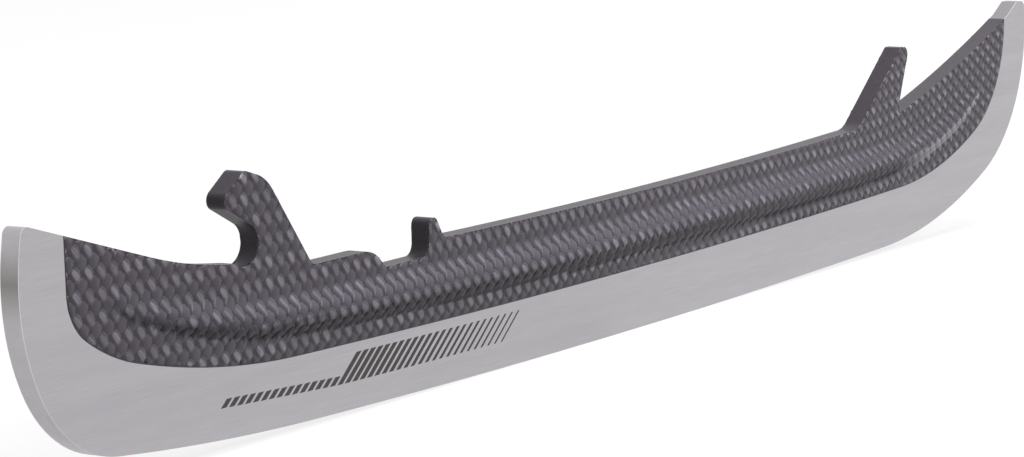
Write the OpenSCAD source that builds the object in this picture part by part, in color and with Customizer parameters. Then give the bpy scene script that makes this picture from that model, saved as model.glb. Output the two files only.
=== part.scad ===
// Hockey skate runner: a stainless ice strip bonded into a braided carbon body.
// Side view: X runs from heel (-) to toe (+), Z up from the ice, Y across the thickness.
// The origin lies on the ice line at mid length, in the middle of the thickness.

/* [Runner] */
// Overall length, heel tip to toe tip
length = 280; // [254:1:306]
// Thickness of the ground steel and of the flat carbon
blade_t = 2.9; // [2.6:0.1:3.4]
// Radius of the long curve that meets the ice
rocker_r = 3600; // [2800:100:4400]
// Height of the steel at mid length
strip_h = 9.1; // [7:0.1:11]

/* [Heel end] */
// Height of the heel tip above the ice
heel_h = 35.3; // [32:0.1:38]
// Radius of the heel's round end
heel_round_r = 19.4; // [17:0.1:22]
// Radius of the easing arc between rocker and heel round
heel_ease_r = 520; // [400:10:700]
// Angle that the easing arc turns
heel_ease_deg = 4.8; // [3:0.1:6]
// Radius of the heel's back, above the round end
heel_back_r = 28.7; // [24:0.1:34]
// Angle that the round end turns before the back begins
heel_round_deg = 56.3; // [50:0.1:62]
// Slope of the heel's straight top edge, falling towards the middle
heel_slope = 16.5; // [14:0.1:18]
// Width of the upturned steel at the heel
heel_steel_w = 9.05; // [7:0.1:11]

/* [Toe end] */
// Height of the toe tip above the ice
toe_h = 37.3; // [34:0.1:40]
// Radius of the toe's round end
toe_round_r = 26.5; // [22:0.1:32]
// Radius of the easing arc between rocker and toe round
toe_ease_r = 104; // [80:1:150]
// Angle that the easing arc turns
toe_ease_deg = 21.6; // [16:0.1:26]
// Length of the steel tip that rises past the carbon's top edge
toe_tip_len = 6.6; // [5.5:0.1:8]
// Height of that tip above the carbon's top edge
toe_tip_rise = 2; // [1.5:0.1:3]
// Length of the short flat on top of the tip
toe_flat = 3.1; // [2:0.1:4]
// Radius of the hollow curve of the toe's top edge
toe_top_r = 330; // [250:5:500]
// Width of the upturned steel at the toe
toe_steel_w = 8.2; // [7:0.1:11]

/* [Carbon body] */
// Height of the top edge above the ice at mid length
waist_h = 20.6; // [19.8:0.1:22]
// Radius of the top edge along the waist
waist_r = 2600; // [1800:100:4000]
// Thickness of each braided skin
skin_t = 0.35; // [0.25:0.05:0.5]
// How far the lengthwise rib stands out of each flat face
rib_h = 1.3; // [0.8:0.1:1.8]
// Height of the rib's crest above the steel at mid length
rib_rise = 4.6; // [4:0.1:5.2]
// Width of the rib's long upper flank
rib_upper_w = 4.4; // [3.6:0.1:4.6]
// Width of the rib's short lower flank
rib_lower_w = 2.4; // [1.8:0.1:3]
// Distance from each tip of the runner to the rib's end
rib_end = 12.5; // [12:0.5:20]

/* [Latch hook at the heel] */
// Distance from the heel tip to the notch centre
notch_x = 46.65; // [42:0.1:50]
// Height of the notch centre above the ice
notch_z = 26.5; // [26.3:0.1:27.5]
// Radius of the round notch that takes the latch pin
notch_r = 2.8; // [2.4:0.1:3.2]
// Slope of the nose's underside, which leads the pin in
mouth_deg = 27; // [22:1:32]
// Distance from the notch centre to the nose of the hook
nose_reach = 5.7; // [4.6:0.1:6.6]
// Height of the hook's top above the notch centre
hook_rise = 9.8; // [9:0.1:11]
// Distance from the notch centre to the top of the hook's back
hook_back_w = 5; // [4:0.1:6]
// Height of the flat seat behind the hook
pad_h = 21.75; // [21:0.05:22.4]
// Length of the flat seat
pad_len = 15; // [12:0.1:18]
// Depth of the saddle below the seat
saddle_drop = 2.8; // [2:0.1:3]
// Length of the saddle between seat and tab
saddle_len = 13; // [9:0.1:15]
// Height of the stop tab above the saddle
tab_rise = 5.2; // [4.2:0.1:6]
// Length of the stop tab at its top
tab_len = 1.9; // [1.6:0.1:3]

/* [Leaning post at the toe] */
// Distance from the toe tip to the root of the post's undercut
post_x = 49; // [44:0.1:54]
// Height of the post's root above the ice
post_root_h = 22.6; // [22:0.1:24]
// Height of the post above its root
post_rise = 11.1; // [9:0.1:12]
// Width of the post's top
post_w = 3.2; // [2.6:0.1:4.5]
// Slope of the post's long flank
post_slope = 36.6; // [33:0.1:42]
// How far the post's top overhangs its root
post_overhang = 4.6; // [3.6:0.1:5.6]

/* [Joint inside the carbon] */
// Thickness of the steel tang that runs up into the carbon
tang_t = 1; // [0.8:0.05:1.2]
// Height of the tang above the steel's shoulder
tang_h = 5; // [4:0.1:6]
// Height above the ice at which the tang stops at both ends
tang_top = 23; // [21:0.5:25]
// Radius of the holes through the tang
key_r = 1.4; // [1:0.1:1.6]
// Spacing of those holes
key_pitch = 14; // [10:1:20]
// Thickness of the adhesive between steel and carbon
bond_t = 0.1; // [0.08:0.01:0.15]

/* [Hidden] */

// A tiny overlap that lets a cutting solid pass a face
eps = 0.01;
// Lean of the straight tips past the upright, outside and at the steel's inner edge
heel_lean = 9;
toe_lean = 7;
bay_lean = -1;
// Least height of the straight part of a tip
tip_straight = 1.3;
// The steel's inner edge at the heel turns through a long arc, a tighter one and a small one
heel_bay_long_r = 158;
heel_bay_excess = 14.6;
heel_bay_inset = 11.7;
heel_bay_long_deg = 12.7;
heel_bay_both_deg = 31.7;
// At the toe it follows the two outer arcs, with smaller radii
toe_bay_ease_inset = 28;
toe_bay_inset = 6.5;
toe_bay_extra_deg = 0.2;
// Rounding of the outline's corners
heel_top_r = 94;
tip_round = 1.2;
toe_round = 2;
toe_flat_round = 1;
nose_round = 1.3;
hook_back_round = 7;
hook_foot_round = 1.5;
pad_round = 6;
saddle_round = 0.8;
tab_round = 1.1;
tab_front_round = 1.7;
tab_foot_round = 1;
post_foot_round = 5;
post_back_round = 0.6;
post_round = 1.3;
root_round = 0.4;
// Slopes of the hook's top and back, the tab's back, the nose and the notch's floor
hook_top_deg = 17;
hook_back_deg = 52.7;
tab_back_deg = 58;
nose_deg = 33;
floor_deg = 7;
// How much of a side its two roundings may use, and half the angle past which none is made
side_use = 0.98;
nearly_straight = 89.5;
// Height of the notch's straight floor above the circle's lowest point
floor_rise = 0.3;
// How far the tang's foot reaches down into the strip, so that the two are one solid
tang_root = 1;
// Half of the thickness, and the layers that make it up
half_t = blade_t / 2;
core_t = half_t - skin_t;
recess_y = tang_t / 2 + bond_t;
// A height over every part of the outline
above = heel_h + toe_h;
mid = length / 2;
// Steps along the arcs, and along the rib and across it
arc_steps = 14;
toe_top_steps = 12;
corner_steps = 8;
notch_sides = 64;
key_sides = 32;
rocker_step = 9;
rib_steps = 44;
rib_cross = [-1, -0.66, -0.33, 0, 0.2, 0.4, 0.6, 0.8, 1];
// Shares of its height and of its width that the rib keeps at its ends
rib_end_share = 0.05;
rib_end_width = 0.35;
// How much further the rib's crest climbs off the steel towards each tip
rib_climb_heel = 2;
rib_climb_toe = 0.9;
// How late along the runner the rib fades, and its crest climbs
fade_power = 5;
climb_power = 3;
// Thickness left at the stringer's feathered edges
rib_edge = 0.05;
// Clear lengths beside the tab's foot, the post's foot and the last key
tab_clear = 4;
post_clear = 8;
key_clear = 20;
// Run of the rounded step from seat to saddle
step_run = 2;

function sum(v, i = 0) = i < len(v) ? v[i] + sum(v, i + 1) : 0;
function reverse(v) = [for (i = [len(v) - 1:-1:0]) v[i]];
function flip(v) = [for (p = v) [-p[0], p[1]]];
function add_to(v, d) = [for (x = v) x + d];
function all_but_first(v) = [for (i = [1:len(v) - 1]) v[i]];
function all_but_last(v) = [for (i = [0:len(v) - 2]) v[i]];

// A whole edge, heel to toe, from its two halves that start at mid length
function whole_edge(heel, toe) = concat(reverse(flip(heel)), all_but_first(toe));

// Direction at an angle measured from straight down, outwards
function out_dir(a) = [sin(a), -cos(a)];
function arc_points(c, r, a0, a1, steps) =
    [for (i = [0:steps]) c + r * out_dir(a0 + (a1 - a0) * i / steps)];

// Tangent arcs: the angle at which the first leaves the rocker so that the last touches x = reach
function leave_angle(rs, turns, reach) =
    let (n = len(turns) - 1,
         p = sum([for (i = [0:n]) (rs[i] - rs[i + 1]) * cos(turns[i])]),
         q = sum([for (i = [0:n]) (rs[i] - rs[i + 1]) * sin(turns[i])]))
    asin((reach - rs[n + 1]) / norm([p, q])) - atan2(q, p);

// Centre of arc number i in such a chain
function centre(rs, turns, a, base, i) =
    i == 0 ? [0, base + rs[0]]
           : centre(rs, turns, a, base, i - 1) + (rs[i - 1] - rs[i]) * out_dir(a + turns[i - 1]);

// Angle at which the last arc, about c, gives way to the straight tip: at its lean, or where it nears the top
function tip_angle(c, r, lean, top) = min(90 + lean, acos(max(-1, (c[1] - top + tip_straight) / r)));

// Half of a curved edge, from mid length outwards: rocker, arcs and a straight leaning tip
function half_edge(rs, turns, reach, lean, base, top) =
    let (n = len(turns),
         a = leave_angle(rs, turns, reach),
         tip_deg = tip_angle(centre(rs, turns, a, base, n), rs[n], lean, top),
         ends = concat([0], add_to(turns, a), [tip_deg]),
         rocker_steps = ceil(rs[0] * sin(a) / rocker_step),
         arcs = [for (i = [0:n]) arc_points(centre(rs, turns, a, base, i), rs[i], ends[i], ends[i + 1],
                                            i == 0 ? rocker_steps : arc_steps)],
         last = arcs[n][arc_steps],
         tip = [last[0] - (top - last[1]) * tan(tip_deg - 90), top])
    concat([for (i = [0:n]) for (j = [0:len(arcs[i]) - 2]) arcs[i][j]], [last, tip]);

// The edge that meets the ice, heel tip to toe tip
heel_arcs = [rocker_r, heel_ease_r, heel_round_r, heel_back_r];
toe_arcs = [rocker_r, toe_ease_r, toe_round_r];
heel_turns = [0, heel_ease_deg, heel_ease_deg + heel_round_deg];
function heel_bottom() = half_edge(heel_arcs, heel_turns, mid, heel_lean, 0, heel_h);
function toe_bottom() = half_edge(toe_arcs, [0, toe_ease_deg], mid, toe_lean, 0, toe_h);

// The steel's upper edge, moved inwards by d, heel to toe, ending high above the runner
heel_bay_arcs = [rocker_r - strip_h, heel_bay_long_r,
                 heel_round_r + heel_bay_excess, heel_round_r - heel_bay_inset];
toe_bay_arcs = [rocker_r - strip_h, toe_ease_r - toe_bay_ease_inset, toe_round_r - toe_bay_inset];
function bay_edge(d) = whole_edge(
    half_edge(add_to(heel_bay_arcs, -d), [0, heel_bay_long_deg, heel_bay_both_deg],
              mid - heel_steel_w - d, bay_lean, strip_h + d, above),
    half_edge(add_to(toe_bay_arcs, -d), [0, toe_ease_deg + toe_bay_extra_deg],
              mid - toe_steel_w - d, bay_lean, strip_h + d, above));

function waist_z(x) = waist_h + x * x / (2 * waist_r);

// Corners of the top edge from heel to toe: [x, z, rounding radius]
notch_c = [notch_x - mid, notch_z];
floor_z = notch_z - notch_r + floor_rise;
heel_tip = [-last_x(heel_bottom()), heel_h];
heel_bend = bend(heel_tip, -heel_slope, [notch_c[0], floor_z], -floor_deg);
mouth_top = notch_c + notch_r * [cos(90 - mouth_deg), sin(90 - mouth_deg)];
nose_x = notch_c[0] - nose_reach;
nose_low = [nose_x, mouth_top[1] + (mouth_top[0] - nose_x) * tan(mouth_deg)];
hook_top_z = notch_z + hook_rise;
nose_high = [nose_x + (hook_top_z - nose_low[1]) / tan(nose_deg), hook_top_z];
hook_back_x = notch_c[0] + hook_back_w;
hook_back = [hook_back_x, hook_top_z - (hook_back_x - nose_high[0]) * tan(hook_top_deg)];
pad_start = [hook_back[0] + (hook_back[1] - pad_h) / tan(hook_back_deg), pad_h];
pad_stop = [pad_start[0] + pad_len, pad_h];
saddle_z = pad_h - saddle_drop;
tab_x = pad_stop[0] + saddle_len;
tab_top_z = saddle_z + tab_rise;
tab_foot_x = tab_x + tab_len + (tab_top_z - waist_z(tab_x)) / tan(tab_back_deg);
root = [mid - post_x, post_root_h];
post_top_z = post_root_h + post_rise;
post_tip = [root[0] + post_overhang, post_top_z];
post_back = [post_tip[0] - post_w, post_top_z];
post_foot_x = post_back[0] - (post_top_z - waist_z(post_back[0])) / tan(post_slope);
toe_tip = [last_x(toe_bottom()), toe_h];

function last_x(v) = v[len(v) - 1][0];

// Where a line at slope s from p meets the line at slope t through q, slopes in degrees
function bend(p, s, q, t) =
    let (x = (q[1] - p[1] + p[0] * tan(s) - q[0] * tan(t)) / (tan(s) - tan(t)))
    [x, p[1] + (x - p[0]) * tan(s)];

// The toe's hollow top edge: one arc from the post's root to the foot of the steel tip
toe_foot = [toe_tip[0] - toe_tip_len, toe_h - toe_tip_rise];
toe_chord = toe_foot - root;
toe_chord_deg = atan2(toe_chord[1], toe_chord[0]);
toe_half_deg = asin(norm(toe_chord) / 2 / toe_top_r);
toe_top_c = root - toe_top_r * out_dir(toe_chord_deg - toe_half_deg);
toe_top_points = [for (p = arc_points(toe_top_c, toe_top_r, toe_chord_deg - toe_half_deg,
                                      toe_chord_deg + toe_half_deg, toe_top_steps)) with_r(p, 0)];

function with_r(p, r) = [p[0], p[1], r];
waist_from = ceil((tab_foot_x + tab_clear) / rocker_step);
waist_to = floor((post_foot_x - post_clear) / rocker_step);
top_corners = concat(
    [with_r(heel_tip, tip_round),
     with_r(heel_bend, heel_top_r),
     [notch_c[0], floor_z, 0],
     with_r(mouth_top, 0),
     with_r(nose_low, nose_round),
     with_r(nose_high, nose_round),
     with_r(hook_back, hook_back_round),
     with_r(pad_start, hook_foot_round),
     with_r(pad_stop, pad_round),
     [pad_stop[0] + step_run, saddle_z, saddle_round],
     [tab_x, saddle_z, tab_front_round],
     [tab_x, tab_top_z, tab_round],
     [tab_x + tab_len, tab_top_z, tab_round],
     [tab_foot_x, waist_z(tab_foot_x), tab_foot_round]],
    [for (i = [waist_from:waist_to]) [i * rocker_step, waist_z(i * rocker_step), 0]],
    [[post_foot_x, waist_z(post_foot_x), post_foot_round],
     with_r(post_back, post_back_round),
     with_r(post_tip, post_round),
     with_r(root, root_round)],
    all_but_first(toe_top_points),
    [[toe_tip[0] - toe_flat, toe_h, toe_flat_round],
     with_r(toe_tip, toe_round)]);

// Half of the angle at corner i of an outline, and how much of each side its rounding takes up
function xy(p) = [p[0], p[1]];
function side(v, i) = let (n = len(v)) xy(v[(i + 1) % n]) - xy(v[(i + n) % n]);
function half_angle(v, i) =
    let (u = side(v, i - 1), w = side(v, i))
    acos(max(-1, min(1, -u * w / norm(u) / norm(w)))) / 2;
function cut_back(v, i) = let (j = (i + len(v)) % len(v)) v[j][2] == 0 ? 0 : v[j][2] / tan(half_angle(v, j));

// The share of both roundings that side i has room for
function room(v, i) =
    let (wanted = cut_back(v, i) + cut_back(v, i + 1))
    wanted == 0 ? 1 : min(1, side_use * norm(side(v, i)) / wanted);

// Corner i of an outline, replaced by an arc that touches both sides
function corner(v, i) =
    let (b = xy(v[i]),
         half = half_angle(v, i),
         r = v[i][2] * min(room(v, i - 1), room(v, i)))
    r == 0 || half > nearly_straight ? [b] :
    let (u = -side(v, i - 1) / norm(side(v, i - 1)),
         w = side(v, i) / norm(side(v, i)),
         cut = r / tan(half),
         m = b + (u + w) / norm(u + w) * r / sin(half),
         s = b + u * cut - m,
         e = b + w * cut - m,
         turn = atan2(s[0] * e[1] - s[1] * e[0], s * e))
    [for (k = [0:corner_steps]) let (t = turn * k / corner_steps)
        m + [s[0] * cos(t) - s[1] * sin(t), s[0] * sin(t) + s[1] * cos(t)]];

function rounded(v) = [for (i = [0:len(v) - 1]) each corner(v, i)];

bottom_corners = [for (p = whole_edge(all_but_last(heel_bottom()), all_but_last(toe_bottom()))) with_r(p, 0)];
runner_points = rounded(concat(bottom_corners, reverse(top_corners)));

// The runner's whole side view, with the round notch cut out of the hook
module runner_outline() {
    difference() {
        polygon(runner_points);
        translate(notch_c) circle(r = notch_r, $fn = notch_sides);
    }
}

// The part of that view above the steel's edge, moved inwards by d
module bay_outline(d) {
    polygon(bay_edge(d));
}

module carbon_outline() {
    intersection() {
        runner_outline();
        bay_outline(bond_t);
    }
}

// The tang's band along the steel's edge, grown by d
module tang_band(d) {
    intersection() {
        difference() {
            bay_outline(-tang_root);
            bay_outline(tang_h + d);
        }
        translate([-mid, 0]) square([length, tang_top + d]);
    }
}

// Extrudes a side view across the thickness, from y0 to y1
module plate(y0, y1) {
    translate([0, y1, 0]) rotate([90, 0, 0]) linear_extrude(y1 - y0) children();
}

// Places one key on each hole of the tang
bay_mid = bay_edge(tang_h / 2);
function bay_mid_z(x) = lookup(x, bay_mid);
key_count = floor((mid - heel_steel_w - key_clear) / key_pitch);
module at_keys() {
    for (i = [-key_count:key_count])
        translate([i * key_pitch, 0, bay_mid_z(i * key_pitch)]) rotate([90, 0, 0]) children();
}

module steel_runner() {
    color([0.68, 0.66, 0.68])
    difference() {
        union() {
            plate(-half_t, half_t) difference() {
                runner_outline();
                bay_outline(0);
            }
            plate(-tang_t / 2, tang_t / 2) tang_band(0);
        }
        at_keys() cylinder(r = key_r, h = 2 * tang_t, center = true, $fn = key_sides);
    }
}

module epoxy_bond() {
    color([0.16, 0.15, 0.17])
    difference() {
        union() {
            plate(-half_t, half_t) intersection() {
                runner_outline();
                difference() {
                    bay_outline(0);
                    bay_outline(bond_t);
                }
            }
            plate(-recess_y, recess_y) intersection() {
                bay_outline(0);
                tang_band(bond_t);
            }
        }
        plate(-tang_t / 2, tang_t / 2) tang_band(0);
        at_keys() cylinder(r = key_r, h = 2 * tang_t, center = true, $fn = key_sides);
    }
}

module tang_keys() {
    color([0.2, 0.19, 0.21])
    at_keys() cylinder(r = key_r, h = 2 * recess_y, center = true, $fn = key_sides);
}

// One half of the moulded core, with a recess for half of the tang
module core_half() {
    color([0.25, 0.24, 0.26])
    difference() {
        plate(0, core_t) carbon_outline();
        plate(-eps, recess_y) tang_band(bond_t);
    }
}

module core_left() {
    core_half();
}

module core_right() {
    mirror([0, 1, 0]) core_half();
}

// The rib fades out towards both ends
rib_reach = mid - rib_end;
function fade(x) = max(rib_end_share, 1 - pow(abs(x) / rib_reach, fade_power));
function crest_rise(x) =
    rib_rise + (x < 0 ? rib_climb_heel : rib_climb_toe) * pow(abs(x) / rib_reach, climb_power);
bay_line = bay_edge(0);
function bay_slope(x) = atan2(lookup(x + 1, bay_line) - lookup(x - 1, bay_line), 2);
rib_x = [for (i = [0:rib_steps]) -rib_reach * cos(180 * i / rib_steps)];

// Shape across the rib: 0 at both feet, 1 at the crest, steep below and gentle above
function rib_shape(s) = s < 0 ? cos(90 * s) : (1 + cos(180 * s)) / 2;
function rib_point(x, s, y) =
    let (w = (s < 0 ? rib_lower_w : rib_upper_w) * (rib_end_width + (1 - rib_end_width) * fade(x)),
         off = crest_rise(x) + s * w,
         a = bay_slope(x))
    [x - off * sin(a), y + rib_h * fade(x) * rib_shape(s), lookup(x, bay_line) + off * cos(a)];

// Lofted rib: flat foot at y = foot, curved face rising from y = edge
module rib_loft(foot, edge) {
    m = len(rib_cross);
    n = len(rib_x);
    outer = [for (x = rib_x) for (s = rib_cross) rib_point(x, s, edge)];
    base = [for (p = outer) [p[0], foot, p[2]]];
    function at(i, j) = i * m + j;
    function low(i, j) = n * m + i * m + j;
    // Both triangles of the face whose corners are a, b, c, d
    function quad(a, b, c, d) = [[a, b, c], [a, c, d]];
    skin_faces = [for (i = [0:n - 2]) for (j = [0:m - 2])
        each quad(at(i, j), at(i + 1, j), at(i + 1, j + 1), at(i, j + 1))];
    foot_faces = [for (i = [0:n - 2]) for (j = [0:m - 2])
        each quad(low(i, j + 1), low(i + 1, j + 1), low(i + 1, j), low(i, j))];
    side_faces = [for (i = [0:n - 2])
        each concat(quad(at(i, 0), low(i, 0), low(i + 1, 0), at(i + 1, 0)),
                    quad(at(i, m - 1), at(i + 1, m - 1), low(i + 1, m - 1), low(i, m - 1)))];
    end_faces = [for (j = [0:m - 2])
        each concat(quad(at(0, j), at(0, j + 1), low(0, j + 1), low(0, j)),
                    quad(at(n - 1, j + 1), at(n - 1, j), low(n - 1, j), low(n - 1, j + 1)))];
    polyhedron(concat(outer, base), concat(skin_faces, foot_faces, side_faces, end_faces));
}

module rib_stringer() {
    color([0.22, 0.21, 0.23])
    rib_loft(core_t, core_t + rib_edge);
}

module rib_stringer_left() {
    rib_stringer();
}

module rib_stringer_right() {
    mirror([0, 1, 0]) rib_stringer();
}

module braid_skin() {
    color([0.33, 0.31, 0.35])
    difference() {
        union() {
            plate(core_t, half_t) carbon_outline();
            rib_loft(half_t - skin_t / 2, half_t);
        }
        rib_loft(core_t - eps, core_t + rib_edge);
    }
}

module braid_skin_left() {
    braid_skin();
}

module braid_skin_right() {
    mirror([0, 1, 0]) braid_skin();
}

steel_runner();
epoxy_bond();
tang_keys();
core_left();
core_right();
rib_stringer_left();
rib_stringer_right();
braid_skin_left();
braid_skin_right();
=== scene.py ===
import math

import bpy
from mathutils import Matrix


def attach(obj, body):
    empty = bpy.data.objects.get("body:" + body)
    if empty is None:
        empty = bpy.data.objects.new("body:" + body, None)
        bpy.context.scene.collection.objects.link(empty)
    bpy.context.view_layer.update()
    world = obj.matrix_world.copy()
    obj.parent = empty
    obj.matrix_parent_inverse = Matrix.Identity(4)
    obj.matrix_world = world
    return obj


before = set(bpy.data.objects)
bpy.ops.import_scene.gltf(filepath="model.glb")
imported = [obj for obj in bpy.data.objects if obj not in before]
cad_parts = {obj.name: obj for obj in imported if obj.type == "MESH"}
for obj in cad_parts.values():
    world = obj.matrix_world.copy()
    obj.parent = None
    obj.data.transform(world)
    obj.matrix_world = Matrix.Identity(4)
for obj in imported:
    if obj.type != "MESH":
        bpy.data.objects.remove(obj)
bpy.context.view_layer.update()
scene = bpy.context.scene
MM = 0.001


# The view: a long lens from behind and above the heel, looking down the near side.
# The place and the turn come from a pinhole camera fitted to the edges in the photograph.

view_from = (-0.533917, -0.324518, 0.108139)
view_right = (0.535861, -0.843985, -0.023284)
view_up = (0.135379, 0.058668, 0.989055)
view_back = (-0.833382, -0.533148, 0.145695)
view_sensor_width = 36
view_focal_length = 148.81
view_nearest = 0.01
view_farthest = 50

camera_lens = bpy.data.cameras.new("camera")
camera_lens.sensor_fit = "HORIZONTAL"
camera_lens.sensor_width = view_sensor_width
camera_lens.lens = view_focal_length
camera_lens.clip_start = view_nearest
camera_lens.clip_end = view_farthest
camera = bpy.data.objects.new("camera", camera_lens)
view_turn = Matrix((view_right, view_up, view_back)).transposed().to_4x4()
camera.matrix_world = Matrix.Translation(view_from) @ view_turn
scene.collection.objects.link(camera)
scene.camera = camera
scene.view_settings.view_transform = "Standard"


# The floor: a wide sheet of white studio paper that the blade stands on, on its running edge.
# It shows white to the camera and in the steel, and it still takes the blade's soft shadow.

floor_half = 6.0
floor_glow = 0.8
paper_seen_colour = (0.92, 0.92, 0.92, 1)
paper_lighting_colour = (0.20, 0.20, 0.205, 1)
white = (1, 1, 1, 1)
backdrop_strength = 1.0


def put(tree, kind, inputs=None, **settings):
    """Adds one node. inputs gives each socket, by name or number, a value or the socket that feeds it."""
    node = tree.nodes.new(kind)
    for setting, value in settings.items():
        setattr(node, setting, value)
    for key, value in (inputs or {}).items():
        if isinstance(value, bpy.types.NodeSocket):
            tree.links.new(value, node.inputs[key])
        else:
            node.inputs[key].default_value = value
    return node


def empty_material(name):
    """A new material and its tree, with no nodes in it."""
    material = bpy.data.materials.new(name)
    material.use_nodes = True
    material.node_tree.nodes.clear()
    return material, material.node_tree


def show(tree, shader):
    """Ends a material in that shader."""
    put(tree, "ShaderNodeOutputMaterial", {"Surface": shader.outputs[0]})


def maths(tree, operation, *values):
    """One Math node on numbers or sockets."""
    return put(tree, "ShaderNodeMath", dict(enumerate(values)), operation=operation).outputs[0]


def parts_of(tree, whole):
    """The X, Y and Z of a vector."""
    return put(tree, "ShaderNodeSeparateXYZ", {0: whole}).outputs


def vector(tree, x, y, z):
    """A vector from three numbers or sockets."""
    return put(tree, "ShaderNodeCombineXYZ", {0: x, 1: y, 2: z}).outputs[0]


def seen_as_backdrop(tree):
    """1 for rays from the camera and from shiny or clear surfaces, 0 for those that light the object."""
    path = put(tree, "ShaderNodeLightPath").outputs
    shiny = maths(tree, "MAXIMUM", path["Is Glossy Ray"], path["Is Transmission Ray"])
    return maths(tree, "MAXIMUM", path["Is Camera Ray"], shiny)


def blend(tree, share, first, second):
    """Mixes two colours, each given as numbers or as a socket."""
    node = put(tree, "ShaderNodeMix", {"Factor": share}, data_type="RGBA")
    colours = [socket for socket in node.inputs if socket.type == "RGBA"]
    for socket, value in zip(colours, (first, second)):
        if isinstance(value, bpy.types.NodeSocket):
            tree.links.new(value, socket)
        else:
            socket.default_value = value
    return [socket for socket in node.outputs if socket.type == "RGBA"][0]


paper, tree = empty_material("studio_paper")
backdrop = seen_as_backdrop(tree)
lit = put(tree, "ShaderNodeBsdfDiffuse", {
    "Color": blend(tree, backdrop, paper_lighting_colour, paper_seen_colour),
})
glow = put(tree, "ShaderNodeEmission", {"Color": white, "Strength": backdrop_strength})
glow_share = maths(tree, "MULTIPLY", backdrop, floor_glow)
show(tree, put(tree, "ShaderNodeMixShader", {0: glow_share, 1: lit.outputs[0], 2: glow.outputs[0]}))

corners = [
    (-floor_half, -floor_half, 0),
    (floor_half, -floor_half, 0),
    (floor_half, floor_half, 0),
    (-floor_half, floor_half, 0),
]
sheet = bpy.data.meshes.new("floor")
sheet.from_pydata(corners, [], [(0, 1, 2, 3)])
sheet.materials.append(paper)
floor = bpy.data.objects.new("floor", sheet)
scene.collection.objects.link(floor)


# The light: a pale room, one soft box above the near side and one of about its strength high past the toe.
# The top light brightens the upper flank of the rib and leaves the lower flank darker, helped by painted
# sheen and shade on the tows.

room_light = 0.17
soft_box_size = 0.6
key_light_place = (0.10, -0.95, 0.85)
key_light_watts = 10.5
top_light_place = (0.45, -0.10, 1.10)
top_light_watts = 12

room = bpy.data.worlds.new("room")
room.use_nodes = True
tree = room.node_tree
tree.nodes.clear()
dim = put(tree, "ShaderNodeBackground", {"Color": white, "Strength": room_light})
bright = put(tree, "ShaderNodeBackground", {"Color": white, "Strength": backdrop_strength})
both = put(tree, "ShaderNodeMixShader", {
    0: seen_as_backdrop(tree),
    1: dim.outputs[0],
    2: bright.outputs[0],
})
put(tree, "ShaderNodeOutputWorld", {"Surface": both.outputs[0]})
scene.world = room


def soft_box(name, place, watts):
    """A square lamp at place that faces the frame's origin, under the middle of the blade."""
    lamp = bpy.data.lights.new(name, "AREA")
    lamp.shape = "SQUARE"
    lamp.size = soft_box_size
    lamp.energy = watts
    box = bpy.data.objects.new(name, lamp)
    tilt = math.acos(place[2] / math.hypot(*place))
    swing = math.atan2(place[1], place[0]) + math.pi / 2
    box.location = place
    box.rotation_euler = (tilt, 0, swing)
    scene.collection.objects.link(box)


soft_box("key_light", key_light_place, key_light_watts)
soft_box("top_light", top_light_place, top_light_watts)


# The steel runner: one strip of hardened stainless, about 2.9 mm thick, swept up at both ends.
# Its sides are brushed along their length; its cut edges are ground and softly broken, with a painted
# highlight.
# A darker band is painted across the heel's end as a painted reflection, and the up-facing narrow face of
# the toe's tip is darker.

steel_half = 1.45 * MM
steel_colour = (0.462, 0.446, 0.468, 1)
steel_streak_colour = (0.412, 0.396, 0.420, 1)
steel_roughness_dull = 0.42
steel_roughness_bright = 0.31
steel_bump = 0.10
steel_bump_depth = 0.02 * MM
fine_streaks_along = 160
fine_streaks_across = 9000
fine_streaks_share = 0.65
broad_streaks_along = 25
broad_streaks_across = 500
grain_colour_from = 0.35
grain_colour_to = 0.65
grain_roughness_from = 0.3
grain_roughness_to = 0.7
edge_face_most_y = 0.5
# A thin painted highlight on the cut edge faces, where each side meets them.
arris_width = 0.09 * MM
arris_highlight_colour = (0.80, 0.79, 0.80, 1)
# A darker band painted across the heel's end face: a painted reflection.
reflection_band_z = 28 * MM
reflection_band_half = 5 * MM
reflection_band_to_x = -137 * MM
painted_reflection_colour = (0.235, 0.225, 0.215, 1)
# The narrow face of the toe's tip that looks up is darker.
toe_tip_from = 128 * MM
toe_tip_fade = 1 * MM
toe_tip_least_z = 0.2
toe_tip_colour = (0.265, 0.255, 0.268, 1)


def object_place(tree):
    """The place on the piece, in the frame's own axes."""
    return put(tree, "ShaderNodeTexCoord").outputs["Object"]


def facing_of(tree):
    """The X, Y and Z of the way the surface faces."""
    return parts_of(tree, put(tree, "ShaderNodeNewGeometry").outputs["Normal"])


def noise(tree, place, scale, detail):
    """A cloudy pattern from 0 to 1."""
    return put(tree, "ShaderNodeTexNoise", {
        "Vector": place,
        "Scale": scale,
        "Detail": detail,
    }).outputs["Fac"]


def bumped(tree, height, strength, depth):
    """The surface's normal, tilted as if height were cut into it to that depth."""
    return put(tree, "ShaderNodeBump", {
        "Height": height,
        "Strength": strength,
        "Distance": depth,
    }).outputs[0]


def new_effect(name, inputs, outputs):
    """A shader node group, for an effect that more than one material uses."""
    group = bpy.data.node_groups.new(name, "ShaderNodeTree")
    for socket, kind in inputs.items():
        group.interface.new_socket(socket, in_out="INPUT", socket_type=kind)
    for socket, kind in outputs.items():
        group.interface.new_socket(socket, in_out="OUTPUT", socket_type=kind)
    return group, group.nodes.new("NodeGroupInput").outputs


# Streaks: a 0 to 1 noise drawn out along X. Along and Across are how many streaks fit in a metre each way.

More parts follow.
